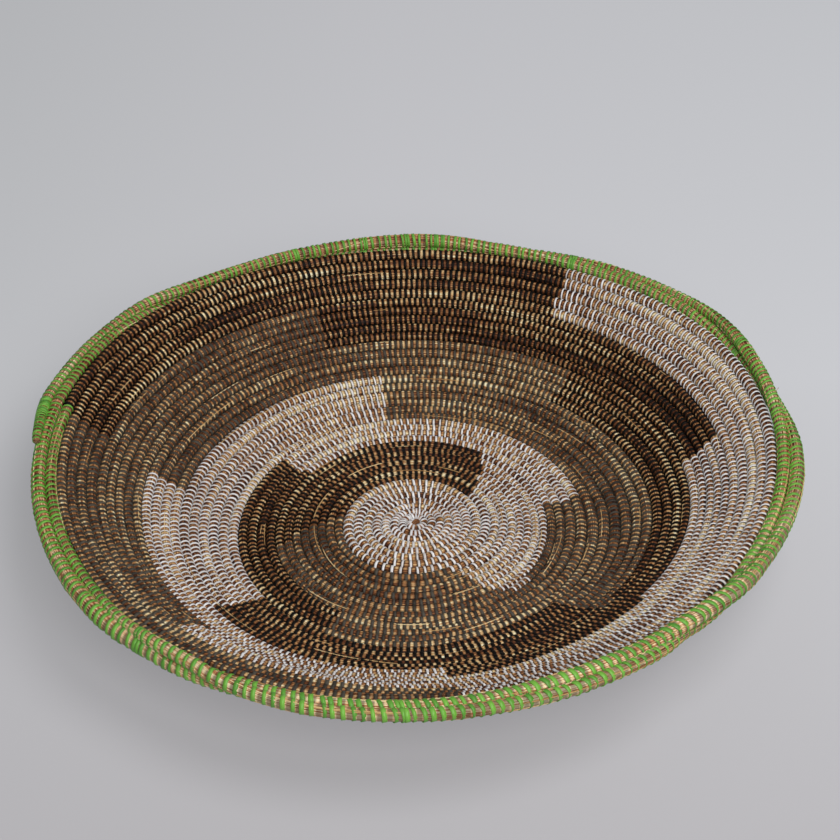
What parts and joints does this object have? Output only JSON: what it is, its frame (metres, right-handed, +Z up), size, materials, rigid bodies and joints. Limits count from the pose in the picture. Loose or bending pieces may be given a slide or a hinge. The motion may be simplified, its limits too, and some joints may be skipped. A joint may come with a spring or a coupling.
{
  "type": "coiled bowl basket",
  "caption": "Wide shallow bowl basket of coiled grass, sewn with white, black and grey strips in a stepped whirl, with a twisted two-strand rim lashed in green.",
  "frame": {"origin": "middle of the outline at the height of the floor the basket stands on", "axes": "+Z up out of the bowl, -Y towards the viewer of the picture, +X to that viewer's right"},
  "size_m": [0.5606, 0.5654, 0.0872],
  "materials": {
    "grass": "dry grass bundle, matt to satin",
    "grass_knot": "folded brown grass, matt",
    "white_strip": "soft sheen, flat strip",
    "black_strip": "soft sheen, flat strip",
    "grey_strip": "soft sheen, flat strip",
    "green_strip": "soft sheen, flat strip"
  },
  "bodies": {
    "root": {"start_knot": "grass_knot", "coil_centre": "grass", "coil_base_inner": "grass", "coil_base_outer": "grass", "coil_wall_low": "grass", "coil_wall_middle": "grass", "coil_wall_high": "grass", "coil_wall_top": "grass", "stitches_white_base_inner": "white_strip", "stitches_black_base_inner": "black_strip", "stitches_grey_base_inner": "grey_strip", "stitches_white_base_outer": "white_strip", "stitches_black_base_outer": "black_strip", "stitches_grey_base_outer": "grey_strip", "stitches_white_wall_low": "white_strip", "stitches_black_wall_low": "black_strip", "stitches_grey_wall_low": "grey_strip", "stitches_white_wall_middle": "white_strip", "stitches_black_wall_middle": "black_strip", "stitches_grey_wall_middle": "grey_strip", "stitches_white_wall_high": "white_strip", "stitches_black_wall_high": "black_strip", "stitches_grey_wall_high": "grey_strip", "stitches_white_wall_top": "white_strip", "stitches_black_wall_top": "black_strip", "stitches_grey_wall_top": "grey_strip", "stitches_white_centre": "white_strip", "rim_strand_first": "grass", "rim_strand_second": "grass", "rim_end_lashing": "green_strip"}
  },
  "joints": []
}
